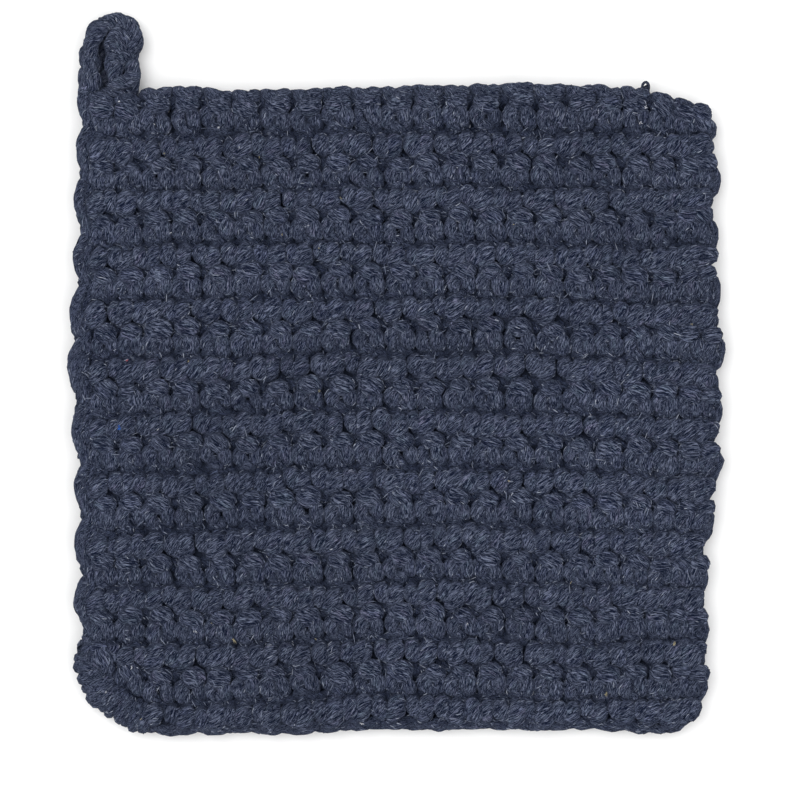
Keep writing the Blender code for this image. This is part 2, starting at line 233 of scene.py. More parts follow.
# ---------------------------------------------------------------- meshes
class Yarn:
    """Collects tubes, then makes one mesh of them."""

    def __init__(self, name):
        self.name, self.v, self.f3, self.f4, self.n = name, [], [], [], 0
        self.s, self.ca, self.sa, self.tone = [], [], [], []
        self.grids = []

    def tube(self, q, r, step=3.1, loose=1.6, sides=SIDES, lay=0.38, tone=None, squash=SQ, taper=(0.55, 0.55)):
        """q: picture-unit points (x, y up, z); r: radii. Sections are round before they are pressed flat."""
        q = np.asarray(q, float) * [1, 1, squash]
        r = np.asarray(r, float); lay = np.broadcast_to(lay, r.shape)      # lay: angle of the spun fibres to the strand
        s = np.r_[0, np.cumsum(np.linalg.norm(np.diff(q, axis=0), axis=1))]
        dz = np.abs(q[:, 2])
        dens = 1.0 / (step * np.interp(dz, [4.0, 9.0], [loose, 1.0]))
        c = np.r_[0, np.cumsum(0.5 * (dens[1:] + dens[:-1]) * np.diff(s))]
        n = max(4, int(round(c[-1])) + 1)
        g = np.interp(np.linspace(0, c[-1], n), c, s)
        q = np.stack([np.interp(g, s, q[:, k]) for k in range(3)], 1); r = np.interp(g, s, r); lay = np.interp(g, s, lay)
        lump = RNG.normal(0, 0.075, (n, sides))
        lump = 0.5 * lump + 0.25 * (np.roll(lump, 1, 1) + np.roll(lump, -1, 1)); lump[1:-1] += 0.4 * (lump[:-2] + lump[2:])
        ds = np.linalg.norm(np.diff(q, axis=0), axis=1)
        T = np.gradient(q, axis=0); T /= np.linalg.norm(T, axis=1)[:, None] + 1e-9
        # length is taken along the outside of the bends, where the fibres are seen
        bend = np.linalg.norm(np.gradient(T, axis=0), axis=1) / np.r_[ds[0], 0.5 * (ds[1:] + ds[:-1]), ds[-1]]
        out = 1 + np.clip(r * bend, 0, 1.9)
        s = np.r_[0, np.cumsum(0.5 * (out[1:] + out[:-1]) * ds)]
        U = np.zeros_like(q)
        u = np.cross(T[0], (0.3, 0.2, 0.9)); U[0] = u / np.linalg.norm(u)
        for i in range(1, n):
            u = U[i - 1] - T[i] * (U[i - 1] @ T[i]); U[i] = u / math.sqrt(u @ u)
        W = np.cross(T, U)
        # rounded ends
        a = np.linspace(0, 2 * np.pi, sides, endpoint=False)
        v = q[:, None] + (r[:, None] * (1 + lump))[:, :, None] * (np.cos(a)[None, :, None] * U[:, None] + np.sin(a)[None, :, None] * W[:, None])
        ends = np.stack([q[0] - T[0] * r[0] * taper[0], q[-1] + T[-1] * r[-1] * taper[1]])
        v = np.vstack([v.reshape(-1, 3), ends]) / [1, 1, squash]
        if squash > 1.01:
            v[:, 2] = press(v[:, 2])
        i = np.arange(n - 1)[:, None] * sides; j = np.arange(sides)[None]; j2 = (j + 1) % sides
        f = np.stack([i + j, i + j2, i + sides + j2, i + sides + j], -1).reshape(-1, 4)
        e0, e1, b = n * sides, n * sides + 1, (n - 1) * sides
        jj = np.arange(sides); jk = (jj + 1) % sides
        cap = np.vstack([np.stack([np.full(sides, e0), jk, jj], 1), np.stack([np.full(sides, e1), b + jj, b + jk], 1)])
        self.v.append(v); self.f4.append(f + self.n); self.f3.append(cap + self.n); self.n += len(v)
        self.grids.append((v[:-2].reshape(n, sides, 3), q / [1, 1, squash], s, r, lay))
        off = RNG.uniform(0, 4000)
        ss = np.r_[np.repeat(s, sides), s[0], s[-1]] + off
        turn = np.tan(lay) / r
        turn = np.r_[0, np.cumsum(0.5 * (turn[1:] + turn[:-1]) * np.diff(s))]
        aa = np.r_[np.tile(a, n), 0, 0] - np.r_[np.repeat(turn, sides), turn[0], turn[-1]]
        wide = np.cos(lay) / math.cos(0.5)      # keeps the streaks equally wide where they lie more across
        wide = np.r_[np.repeat(wide, sides), wide[0], wide[-1]]
        self.s.append(ss); self.ca.append(np.cos(aa) * wide); self.sa.append(np.sin(aa) * wide)
        tone = np.zeros(n) if tone is None else np.interp(s, np.linspace(0, s[-1], len(tone)), tone)
        self.tone.append(np.r_[np.repeat(tone, sides), tone[0], tone[-1]])

    def triangles(self):
        return 2 * sum(len(f) for f in self.f4) + sum(len(f) for f in self.f3)

    def shade_depth(self, lo, hi):
        """Painted shade: wool that lies deep between the strands is coloured darker, as it gets less light there: 0
        deep, 1 at the crests. Near the outer edge the value is raised, so the edge strands are darkened less.
        """
        for k, v in enumerate(self.v):
            d = np.clip((np.abs(v[:, 2]) - lo) / (hi - lo), 0, 1)
            x, y = v[:, 0], -v[:, 1]
            border = np.minimum(np.minimum(x - np.interp(y, BULGE_LY, BULGE_LX), np.interp(y, BULGE_RY, BULGE_RX) - x), np.minimum(y - 88.0, 733.0 - y))
            border = np.minimum(border, ((x - 75.0) + (736.0 - y) - 50.0) / 1.41)
            self.tone[k] = np.maximum(d, np.clip(1 - (border - 5.0) / 9.0, 0, 1) * 0.85)

    def build(self, z0, material, slot="yarn"):
        v = np.vstack(self.v); f4 = np.vstack(self.f4); f3 = np.vstack(self.f3)
        co = np.stack([(v[:, 0] - X0) * PX, (Y0 + v[:, 1]) * PX, (v[:, 2] - z0) * PX], 1)
        me = bpy.data.meshes.new(self.name)
        me.vertices.add(len(co)); me.vertices.foreach_set("co", co.ravel())
        idx = np.concatenate([f4.ravel(), f3.ravel()])
        me.loops.add(len(idx)); me.loops.foreach_set("vertex_index", idx)
        me.polygons.add(len(f4) + len(f3))
        start = np.concatenate([np.arange(len(f4)) * 4, len(f4) * 4 + np.arange(len(f3)) * 3])
        me.polygons.foreach_set("loop_start", start)
        me.update(calc_edges=True)
        for name, data in (("yarn_s", self.s), ("yarn_ca", self.ca), ("yarn_sa", self.sa), ("yarn_shade_and_tone", self.tone)):
            at = me.attributes.new(name, "FLOAT", "POINT")
            at.data.foreach_set("value", np.concatenate(data).astype(np.float32))
        me.shade_smooth()
        ob = bpy.data.objects.new(self.name, me)
        bpy.context.scene.collection.objects.link(ob)
        me.materials.append(material)
        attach(ob, "root")
        return ob


# ---------------------------------------------------------------- materials
def yarn_material(name, dark=(0.0040, 0.0066, 0.0184), pale=(0.0622, 0.0765, 0.1256), bright=(0.136, 0.154, 0.219)):
    mat = bpy.data.materials.new(name); mat.use_nodes = True
    nt = mat.node_tree; N = nt.nodes; Lk = nt.links
    bs = N["Principled BSDF"]
    bs.inputs["Roughness"].default_value = 0.92
    bs.inputs["Specular IOR Level"].default_value = 0.05
    bs.inputs["Sheen Weight"].default_value = 0.18
    bs.inputs["Sheen Roughness"].default_value = 0.5
    bs.inputs["Sheen Tint"].default_value = (0.40, 0.48, 0.72, 1)

    def attr(n):
        a = N.new("ShaderNodeAttribute"); a.attribute_name = n
        return a.outputs["Fac"]

    def math_(op, a, b=None, c=None):
        m = N.new("ShaderNodeMath"); m.operation = op
        for k, x in enumerate((a, b, c)):
            if x is None: continue
            if isinstance(x, (int, float)): m.inputs[k].default_value = x
            else: Lk.new(x, m.inputs[k])
        return m.outputs[0]

    def vec(x, y, z):
        c = N.new("ShaderNodeCombineXYZ")
        for k, q in enumerate((x, y, z)):
            if isinstance(q, (int, float)): c.inputs[k].default_value = q
            else: Lk.new(q, c.inputs[k])
        return c.outputs[0]

    def noise(v, scale, detail=2.0, rough=0.55, dist=0.0):
        n = N.new("ShaderNodeTexNoise"); n.inputs["Scale"].default_value = scale
        n.inputs["Detail"].default_value = detail; n.inputs["Roughness"].default_value = rough
        n.inputs["Distortion"].default_value = dist
        Lk.new(v, n.inputs["Vector"])
        return n.outputs["Fac"]

    def remap(v, a, b, c, d):
        m = N.new("ShaderNodeMapRange"); Lk.new(v, m.inputs[0])
        for k, x in enumerate((a, b, c, d)): m.inputs[k + 1].default_value = x
        return m.outputs[0]

    def mix(f, a, b, blend="MIX"):
        m = N.new("ShaderNodeMix"); m.data_type = "RGBA"; m.blend_type = blend; m.clamp_factor = True
        if isinstance(f, (int, float)): m.inputs[0].default_value = f
        else: Lk.new(f, m.inputs[0])
        for k, x in ((6, a), (7, b)):
            if isinstance(x, tuple): m.inputs[k].default_value = (*x, 1)
            else: Lk.new(x, m.inputs[k])
        return m.outputs[2]

    s, ca, sa, tone = attr("yarn_s"), attr("yarn_ca"), attr("yarn_sa"), attr("yarn_shade_and_tone")
    # fibres: thin short streaks that run along the twisted yarn, in two layers that cross at a small angle
    def turned(k):
        t = math_("MULTIPLY", s, k)
        c, d = math_("COSINE", t), math_("SINE", t)
        return (math_("SUBTRACT", math_("MULTIPLY", ca, c), math_("MULTIPLY", sa, d)),
                math_("ADD", math_("MULTIPLY", ca, d), math_("MULTIPLY", sa, c)))
    c1, d1 = turned(0.018)
    c2, d2 = turned(-0.020)
    n1 = noise(vec(math_("MULTIPLY", c1, 18.5), math_("MULTIPLY", d1, 18.5), math_("MULTIPLY", s, 0.20)), 0.80, 1.3, 0.55, 0.3)
    n2 = noise(vec(math_("MULTIPLY", c2, 16.0), math_("MULTIPLY", d2, 16.0), math_("ADD", math_("MULTIPLY", s, 0.20), 331.0)), 0.95, 1.3, 0.55, 0.3)
    streak = math_("ADD", math_("MULTIPLY", math_("MAXIMUM", n1, n2), 0.75), math_("MULTIPLY", math_("MINIMUM", n1, n2), 0.25))
    tc = N.new("ShaderNodeTexCoord")
    obj = tc.outputs["Object"]
    n3 = noise(obj, 2700.0, 2.0, 0.6, 0.8)
    streak = math_("ADD", math_("MULTIPLY", streak, 0.80), math_("MULTIPLY", n3, 0.20))
    light = remap(streak, 0.489, 0.571, 0.0, 1.0)
    col = mix(light, dark, pale)
    col = mix(remap(streak, 0.556, 0.622, 0.0, 1.0), col, bright)
    # blended dye: soft patches of colder, greener and redder wool
    tint = (1.0, 1.0, 1.0)
    for k, (cell, lo, hi, c) in enumerate(((0.050, 0.53, 0.68, (0.98, 0.98, 1.06)), (0.062, 0.55, 0.70, (0.95, 1.03, 0.99)), (0.066, 0.58, 0.74, (1.08, 0.96, 1.02)))):
        p = noise(vec(math_("MULTIPLY", ca, 1.1), math_("MULTIPLY", sa, 1.1), math_("ADD", math_("MULTIPLY", s, cell), 217.0 * k)), 1.0, 2.0, 0.5)
        tint = mix(remap(p, lo, hi, 0.0, 1.0), tint, c)
    col = mix(1.0, col, tint, "MULTIPLY")
    big = noise(obj, 22.0, 2.0, 0.5)
    col = mix(1.0, col, mix(remap(big, 0.3, 0.7, 0.0, 1.0), (0.88, 0.88, 0.88), (1.10, 1.10, 1.10)), "MULTIPLY")
    # painted shade: the wool's colour is darkened where it lies deep between the strands (value 0) and left as it is at
    # the crests (1)
    col = mix(1.0, col, mix(tone, (0.35, 0.405, 0.545), (1.0, 1.0, 1.0)), "MULTIPLY")
    Lk.new(col, bs.inputs["Base Color"])
    bump = N.new("ShaderNodeBump"); bump.inputs["Strength"].default_value = 1.0; bump.inputs["Distance"].default_value = 0.00022
    Lk.new(light, bump.inputs["Height"]); Lk.new(bump.outputs[0], bs.inputs["Normal"])
    return mat


def mottled_material(name, a, b, scale, rough=0.9):
    """Between two close colours, by a fine noise."""
    mat = bpy.data.materials.new(name); mat.use_nodes = True
    nt = mat.node_tree; N = nt.nodes
    bs = N["Principled BSDF"]
    bs.inputs["Roughness"].default_value = rough; bs.inputs["Specular IOR Level"].default_value = 0.2
    tc = N.new("ShaderNodeTexCoord"); n = N.new("ShaderNodeTexNoise"); n.inputs["Scale"].default_value = scale; n.inputs["Detail"].default_value = 3.0
    nt.links.new(tc.outputs["Object"], n.inputs["Vector"])
    r = N.new("ShaderNodeValToRGB"); nt.links.new(n.outputs["Fac"], r.inputs[0])
    e = r.color_ramp.elements
    e[0].position, e[0].color = 0.35, (*a, 1); e[1].position, e[1].color = 0.65, (*b, 1)
    nt.links.new(r.outputs[0], bs.inputs["Base Color"])
    return mat


def fleck_material(name):
    """Odd fibres of the spun wool: white, pale lilac, bright blue, reddish and straw coloured, by tone."""
    mat = bpy.data.materials.new(name); mat.use_nodes = True
    nt = mat.node_tree; N = nt.nodes
    bs = N["Principled BSDF"]
    bs.inputs["Roughness"].default_value = 0.8; bs.inputs["Specular IOR Level"].default_value = 0.2
    a = N.new("ShaderNodeAttribute"); a.attribute_name = "yarn_shade_and_tone"
    r = N.new("ShaderNodeValToRGB"); nt.links.new(a.outputs["Fac"], r.inputs[0]); r.color_ramp.interpolation = "CONSTANT"
    e = r.color_ramp.elements
    e[0].position, e[0].color = 0.0, (0.50, 0.52, 0.58, 1); e[1].position, e[1].color = 0.2, (0.20, 0.22, 0.34, 1)
    for p, c in ((0.4, (0.03, 0.13, 0.50, 1)), (0.6, (0.30, 0.06, 0.08, 1)), (0.8, (0.30, 0.27, 0.18, 1))):
        m = e.new(p); m.color = c
    nt.links.new(r.outputs[0], bs.inputs["Base Color"])
    return mat


def fibre_material(name):
    mat = bpy.data.materials.new(name); mat.use_nodes = True
    nt = mat.node_tree; N = nt.nodes
    bs = N["Principled BSDF"]
    bs.inputs["Roughness"].default_value = 0.8; bs.inputs["Specular IOR Level"].default_value = 0.06
    a = N.new("ShaderNodeAttribute"); a.attribute_name = "yarn_shade_and_tone"
    r = N.new("ShaderNodeValToRGB"); nt.links.new(a.outputs["Fac"], r.inputs[0])
    e = r.color_ramp.elements
    e[0].position = 0.0; e[0].color = (0.003, 0.006, 0.016, 1); e[1].position = 1.0; e[1].color = (0.34, 0.37, 0.45, 1)
    for p, c in ((0.34, (0.003, 0.006, 0.016, 1)), (0.37, (0.125, 0.147, 0.213, 1)), (0.90, (0.200, 0.225, 0.295, 1))):
        m = e.new(p); m.color = c
    nt.links.new(r.outputs[0], bs.inputs["Base Color"])
    return mat


YARN = yarn_material("wool_yarn")

# ---------------------------------------------------------------- rows
NOTCH_L = [(88, 79.0), (126, 82.3), (176, 78.7), (232, 80.0), (284, 77.7), (340, 73.0), (402, 76.6), (462, 79.6), (518, 81.3), (574, 81.1), (632, 81.6)]
_o = sorted(NOTCH_L + BULGE_L[:-1])
OUT_LY, OUT_LX = np.array([p[0] for p in _o], float), np.array([p[1] for p in _o], float)
BULGE_LY = np.array([p[0] for p in BULGE_L], float); BULGE_LX = np.array([p[1] for p in BULGE_L], float)
BULGE_RY = np.array([p[0] for p in BULGE_R], float); BULGE_RX = np.array([p[1] for p in BULGE_R], float)


def level(x, v):
    return float(bilinear(_tab, np.array([(x - 40.0) / 10.0]), np.array([v + 60.0]))[0])


def row_paths():
    """The picture points of each row, one array per row; the turns between the rows are added afterwards."""
    rows = []
    for j in range(1, N_ROWS + 1):
        back = j % 2 == 1
        base = (j - 1) * ROW
        T = np.c_[np.array(STITCH_TOP, float), LAY_TOP] if j == N_ROWS else np.c_[np.array(STITCH, float), LAY]
        pts = []
        for k in range(N_ST):
            t = T.copy()
            # hand-made unevenness
            t[:, 3] *= 1 + RNG.normal(0, 0.025)
            t[:, 2] += RNG.normal(0, 0.5)
            t[:, 1] += RNG.normal(0, 0.6)
            t[:, 0] += RNG.normal(0, 0.6)
            # and of its parts: head, two legs, two strands on the far side
            for lo, hi, a in ((28, 33, 1.1), (8, 11, 1.0), (16, 19, 1.0), (2, 5, 1.0), (22, 25, 1.0)):
                t[lo:hi, 0] += RNG.normal(0, a); t[lo:hi, 1] += RNG.normal(0, a); t[lo:hi, 2] += RNG.normal(0, a); t[lo:hi, 3] *= 1 + RNG.normal(0, 0.055)
            t[:, 0] += k * PIT
            if k == 0:
                t = t[2:]          # the first stitch comes from the turn
                t[:5, 3] *= 0.78; t[5:8, 3] *= 0.88
            pts.append(t)
        P = catmull(np.vstack(pts), 8)
        u, v, w, r, lay = P.T
        if back:
            U = (N_ST - 1) * PIT + TURN - u; w = -w
        else:
            U = u
        x, y = place(U, base + v, back)
        rows.append(np.stack([x, y, w, r, lay], 1))
    return rows


def turn_path(j, prev_end, next_start):
    """The turn after row j, as picture points. Returning rows end at the left border, the others at the right."""
    left = j % 2 == 1
    top = (j) * ROW
    if j == 1:
        return [(96.0, 703.0, -2.5, 6.0), (88.0, 706.0, -5.0, 6.2), (85.5, 701.0, -5.0, 6.2), (84.0, 692.0, 0.0, 6.2), (85.0, 684.0, 3.0, 6.2), (88.5, 680.0, -1.0, 6.2), (90.0, 681.0, -4.0, 6.2)]
    if left:
        yl = level(82.0, top - 0.5)
        bx = float(np.interp(yl + 13, BULGE_LY, BULGE_LX)) + 6.3
        rel = [
            (bx + 11, 2, -2.5, 6.0), (bx + 4.5, 3.5, -4.5, 6.2), (bx + 0.6, 9, -3.5, 6.4), (bx, 15, -2.5, 6.5), (bx + 1.5, 24, -1.0, 6.2),
            (bx + 5.0, 31, 1.0, 5.8), (bx + 6.5, 34.5, 4.5, 5.6), (bx + 6.0, 28, 7.4, 5.6), (bx + 4.6, 18, 9.0, 5.9), (bx + 3.6, 8, 8.6, 6.0),
            (bx + 4.2, -3, 6.5, 6.0), (bx + 6.0, -12, 1.0, 6.0), (bx + 7.0, -19, -4.5, 6.2),
        ]
        return [(x, yl + dy, z, r) for x, dy, z, r in rel]
    yr = level(708.0, top - 3.0)
    bx = float(np.interp(yr + 13, BULGE_RY, BULGE_RX)) - 6.3
    rel = [
        (bx - 11, 2, 2.5, 6.0), (bx - 4.5, 3.5, 4.0, 6.2), (bx - 0.6, 9, 2.5, 6.4), (bx, 15, 1.0, 6.5), (bx - 1.5, 24, 0.0, 6.3),
        (bx - 5.5, 31, -1.5, 6.0), (bx - 8.0, 33.5, -5.0, 6.0), (bx - 7.5, 27, -7.8, 6.2), (bx - 5.5, 17, -9.0, 6.4), (bx - 4.5, 7, -8.6, 6.4),
        (bx - 5.0, -3, -6.5, 6.2), (bx - 7.0, -12, -1.5, 6.0), (bx - 8.0, -19, 4.5, 6.2),
    ]
    return [(x, yr + dy, z, r) for x, dy, z, r in rel]


rows = row_paths()
segments = []
for j in range(1, N_ROWS + 1):
    P = rows[j - 1]
    if j < N_ROWS:
        nxt = rows[j]
        turn = np.array([(*p, 0.40) for p in turn_path(j, P[-1], nxt[0])], float)
        mid = catmull(np.vstack([P[-1], turn, nxt[0]]), 8)[1:-1]
        segments.append((j, np.vstack([P, mid])))
    else:
        segments.append((j, P))

groups = {}
for j, P in segments:
    if j == 1:      # the corner's own strands take over here
        P = P[:int(np.argmax(P[:, 0] < 140.0))]
    x, y = wobble(P[:, 0], P[:, 1])
    z = P[:, 2] + NZ1(x, y)
    # the rows dip under the strands that run along the left edge
    dip = (1 - ease((x - np.interp(y, OUT_LY, OUT_LX) - 6.0) / 15.0)) * (y < 640.0)
    z = z * (1 - 0.45 * dip); x = x + 2.0 * dip
    nr = gauss_smooth(RNG.normal(size=len(P)), 14.0, 0); nr *= 0.045 / nr.std()
    q = np.stack([x, -y, z], 1)
    if 1 < j < N_ROWS:      # join on to the next row's first point
        nx = rows[j][0]
        a, b = wobble(np.array([nx[0]]), np.array([nx[1]]))
        q = np.vstack([q, [a[0], -b[0], nx[2] + float(NZ1(a, b)[0])]])
        rr = np.r_[P[:, 3] * (1 + nr), nx[3]]
    else:
        rr = P[:, 3] * (1 + nr)
    g = (j - 1) // 3
    yarn = groups.setdefault(g, Yarn(f"stitch_rows_{g + 1}"))
    yarn.tube(q, rr, lay=np.r_[P[:, 4], [P[-1, 4]] * (len(q) - len(P))])

# ---------------------------------------------------------------- hanging loop
# A short crocheted strap that leaves the top left corner, turns over and comes back beside itself. Picture x, y, height, radius.
LOOP = [
    # strand along the left leg, round the top and down the right leg
    [(96.5, 98.0, -2.0, 5.6), (94.5, 91.0, 3.0, 6.4), (91.6, 83.0, 6.4, 7.2), (89.6, 75.0, 4.0, 6.6), (86.6, 69.0, -3.0, 5.8)],
    [(99.5, 86.0, -4.0, 5.8), (97.0, 79.0, 3.6, 6.4), (93.6, 71.0, 7.2, 7.2), (90.6, 62.0, 6.6, 6.8), (87.6, 54.0, 0.0, 6.0)],
    [(99.0, 67.0, -4.0, 5.8), (96.4, 60.0, 3.6, 6.4), (93.4, 51.0, 7.6, 7.3), (93.4, 43.0, 7.6, 7.6), (96.4, 34.0, 6.2, 8.0),
     (101.5, 27.5, 5.0, 8.4), (109.0, 22.6, 4.4, 8.8), (118.0, 22.0, 4.6, 8.8), (126.0, 24.5, 4.8, 8.6), (131.0, 31.0, 5.4, 8.6), (133.5, 40.0, 6.0, 8.2), (131.0, 49.0, 4.0, 7.6), (127.0, 55.0, -1.0, 6.6)],
    # lobes on the outside of the left leg
    [(92.0, 92.0, -6.0, 5.4), (86.0, 87.0, -3.5, 5.8), (84.0, 80.0, -0.5, 6.4), (83.8, 73.5, -0.5, 6.2), (87.0, 67.5, -4.0, 5.6), (91.0, 65.0, -7.0, 5.2)],
    [(92.0, 71.0, -7.0, 5.2), (86.5, 66.5, -3.5, 5.6), (84.2, 60.0, -0.5, 6.4), (84.0, 53.0, 0.0, 6.4), (87.4, 46.5, -3.0, 5.8), (91.5, 43.0, -6.0, 5.4)],
    [(94.0, 51.0, -6.0, 5.6), (90.5, 45.0, -3.0, 6.0), (90.8, 37.0, 0.5, 7.0), (93.0, 30.0, 1.5, 7.2), (98.5, 25.0, -0.5, 6.6), (104.0, 24.0, -4.0, 6.0)],
    # lobes round the top
    [(99.0, 31.0, -5.0, 6.0), (103.0, 23.0, -2.0, 6.8), (111.0, 19.2, 0.0, 7.0), (119.0, 19.4, 0.0, 7.2), (124.0, 24.0, -4.0, 6.4)],
    [(118.0, 29.0, -6.0, 6.0), (120.0, 22.5, -2.5, 6.8), (127.0, 21.2, -0.5, 7.0), (132.0, 25.0, -0.5, 7.0), (133.5, 32.0, -3.5, 6.4), (131.0, 38.0, -6.0, 6.0)],
    # right leg, outer lobes
    [(126.0, 34.0, -4.0, 6.0), (131.0, 32.0, -1.0, 6.6), (136.0, 37.0, 2.0, 7.2), (135.0, 45.0, 2.5, 7.6), (130.0, 50.5, -1.0, 7.0), (124.0, 53.0, -5.0, 6.2)],
    [(124.0, 54.0, -6.0, 6.2), (129.5, 54.0, -1.5, 6.8), (131.0, 60.0, 1.5, 7.0), (132.0, 67.0, 4.5, 7.6), (133.0, 75.0, 4.0, 8.2), (131.5, 83.0, 1.0, 7.6), (131.0, 92.0, -4.0, 6.4)],
    # right leg, inner lobes
    [(110.5, 56.0, -5.0, 6.0), (111.4, 48.0, 1.5, 7.2), (113.6, 40.5, 6.0, 8.6), (119.0, 36.4, 8.0, 9.4), (126.0, 39.0, 7.0, 8.8), (129.0, 46.0, 3.0, 7.8), (128.0, 53.0, -3.0, 6.4)],
    [(116.0, 60.0, 0.0, 6.4), (113.0, 53.0, 3.5, 7.6), (116.0, 47.0, 7.0, 8.6), (122.5, 47.5, 7.0, 8.4), (125.5, 53.0, 3.0, 7.4), (122.0, 58.0, -2.0, 6.4)],
    [(112.5, 82.0, -4.0, 6.4), (112.4, 73.0, 2.0, 7.2), (113.4, 64.5, 6.0, 8.4), (116.0, 57.5, 7.4, 8.8), (123.5, 55.0, 6.0, 8.2), (129.5, 57.0, 2.0, 7.2)],
    [(113.6, 90.0, -4.0, 6.0), (115.2, 80.0, 3.5, 7.6), (116.0, 71.0, 6.4, 7.8), (116.5, 63.0, 4.0, 7.2), (121.0, 59.0, -1.0, 6.2)],
    [(107.0, 90.0, -2.0, 5.8), (112.0, 84.5, 4.0, 7.2), (118.0, 83.0, 7.0, 8.2), (126.0, 81.5, 7.0, 8.2), (132.0, 77.0, 5.0, 8.0), (134.0, 70.0, 1.0, 6.8)],
    [(100.0, 93.0, -3.0, 6.2), (108.0, 92.0, 0.0, 7.4), (117.0, 92.0, 1.0, 7.6), (126.0, 92.0, 0.0, 7.4), (133.0, 90.0, -2.0, 6.6)],
    # deep in the slit between the legs
    [(103.5, 98.0, -7.0, 6.0), (103.5, 86.0, -8.5, 5.8), (102.0, 72.0, -9.0, 6.0), (101.0, 58.0, -9.0, 5.8), (102.5, 45.0, -8.5, 5.8), (108.0, 34.0, -6.0, 5.6)],
    [(107.0, 97.0, -9.0, 5.0), (107.5, 80.0, -9.0, 5.4), (107.0, 62.0, -9.0, 5.2), (108.5, 48.0, -9.0, 5.2), (112.0, 38.0, -8.0, 5.0)],
    # foot of the left leg
    [(88.0, 104.0, -4.0, 6.0), (84.6, 96.0, 0.5, 6.4), (85.0, 88.0, 2.0, 6.4), (89.0, 82.0, 0.0, 6.2), (94.0, 84.0, -5.0, 5.8)],
    # heart of the right leg, seen through its hole
    [(122.0, 95.0, -6.0, 6.0), (122.5, 78.0, -6.0, 6.4), (122.0, 62.0, -6.0, 6.6), (121.0, 46.0, -4.0, 6.4), (117.0, 33.0, -3.0, 6.2)],
]
LOOP_UNDER = [
    [(99.0, 100.0, -4.0, 5.8), (95.0, 88.0, -9.0, 6.4), (93.0, 74.0, -10.0, 6.8), (92.4, 58.0, -10.0, 6.8), (93.4, 44.0, -9.6, 7.2), (98.0, 32.0, -9.0, 7.6), (107.0, 25.0, -9.0, 7.8), (118.0, 24.0, -9.0, 7.8), (127.0, 28.0, -9.0, 7.8), (131.5, 38.0, -9.4, 7.6), (130.0, 50.0, -9.0, 7.2)],
    [(124.0, 40.0, -8.0, 6.8), (130.0, 48.0, -9.6, 7.4), (129.0, 58.0, -9.6, 7.6), (123.0, 64.0, -8.0, 6.8)],
    [(124.0, 58.0, -8.0, 6.8), (130.4, 65.0, -9.6, 7.6), (130.0, 76.0, -9.6, 7.8), (124.0, 84.0, -8.0, 6.8)],
    [(124.0, 76.0, -8.0, 6.8), (130.0, 84.0, -9.6, 7.4), (129.0, 95.0, -8.0, 6.8)],
    [(120.0, 38.0, -8.0, 6.8), (113.4, 44.0, -9.6, 7.6), (113.6, 54.0, -9.6, 7.6), (119.0, 61.0, -8.0, 6.8)],
    [(120.0, 56.0, -8.0, 6.8), (113.6, 62.0, -9.6, 7.6), (113.6, 73.0, -9.6, 7.8), (119.0, 80.0, -8.0, 6.8)],
    [(120.0, 75.0, -8.0, 6.8), (113.6, 82.0, -9.6, 7.6), (114.0, 94.0, -8.0, 6.8)],
]
def drift(n, cell, amp):
    """Slow seeded variation along a path."""
    m = max(3, n // cell + 2)
    return np.interp(np.linspace(0, m - 1, n), np.arange(m), RNG.normal(0, amp, m))


loop_yarn = Yarn("hanging_loop_yarn")
for n_, path in enumerate(LOOP + LOOP_UNDER):
    q = catmull(path, 8)
    if n_ < 3:      # the left leg leans away from the slit
        q[:, 0] -= np.clip((q[:, 1] - 32.0) / 12.0, 0, 1) * np.clip((100.0 - q[:, 0]) / 4.0, 0, 1) * 2.0
    elif 10 < n_ < 15:
        q[:, 0] += np.clip((119.0 - q[:, 0]) / 6.0, 0, 1) * (0.6 + 2.2 * np.clip(np.abs(q[:, 1] - 63.0) / 16.0 - 0.5, 0, 1))
    q[:, 0] += drift(len(q), 12, 0.5); q[:, 1] += drift(len(q), 12, 0.5)
    loop_yarn.tube(np.stack([q[:, 0], -q[:, 1], q[:, 2]], 1), q[:, 3] * (1 + drift(len(q), 9, 0.035)), step=2.7, loose=1.2, sides=12, lay=0.62)
# a short end of yarn that sticks out at the top
for path in ([(107.0, 21.0, -2.0, 1.3), (102.0, 18.6, -2.5, 1.1), (98.8, 17.0, -3.0, 1.2), (98.0, 18.6, -3.4, 0.9)], [(104.0, 20.0, -2.0, 0.8), (100.0, 18.4, -2.5, 0.8), (99.4, 16.6, -2.8, 0.6)]):
    q = catmull(path, 5)
    loop_yarn.tube(np.stack([q[:, 0], -q[:, 1], q[:, 2]], 1), q[:, 3], step=1.3, loose=1.0, sides=6)

# ---------------------------------------------------------------- bottom left corner
# Short strands laid round the corner like a fan, from the edge to the groove inside it.
FAN_EDGE = [(79.0, 656.0), (79.8, 670.0), (86.0, 684.5), (91.5, 696.5), (98.5, 706.0), (108.5, 713.5), (120.5, 720.3), (132.5, 726.0), (146.5, 729.0)]
FAN_IN = [(94.0, 655.0), (97.5, 663.0), (102.0, 671.0), (108.0, 678.0), (114.5, 684.0), (121.5, 690.0), (129.5, 696.0), (138.0, 702.0), (148.0, 707.0)]
corner_yarn = Yarn("corner_strands")
fe, fi = catmull(FAN_EDGE, 8), catmull(FAN_IN, 8)
for t in np.linspace(2, len(fe) - 3, 12):
    k = int(round(t))
    e, i = fe[k] + RNG.normal(0, 0.7, 2), fi[k] + RNG.normal(0, 1.0, 2)
    g = 1 + RNG.normal(0, 0.06)
    lie = RNG.normal(0, 0.6)
    path = [(1.10, -2.0, 5.0), (0.98, 2.6, 6.0), (0.72, 6.6, 7.6), (0.40, 7.6, 8.0), (0.12, 3.6, 7.0), (0.0, -1.0, 6.2), (0.10, -5.4, 6.8), (0.40, -8.4, 7.8), (0.75, -8.0, 7.6), (1.0, -4.0, 6.4)]
    q = catmull([(e[0] + (i[0] - e[0]) * f, e[1] + (i[1] - e[1]) * f, z + lie, r * g) for f, z, r in path], 6)
    corner_yarn.tube(np.stack([q[:, 0], -q[:, 1], q[:, 2]], 1), q[:, 3])

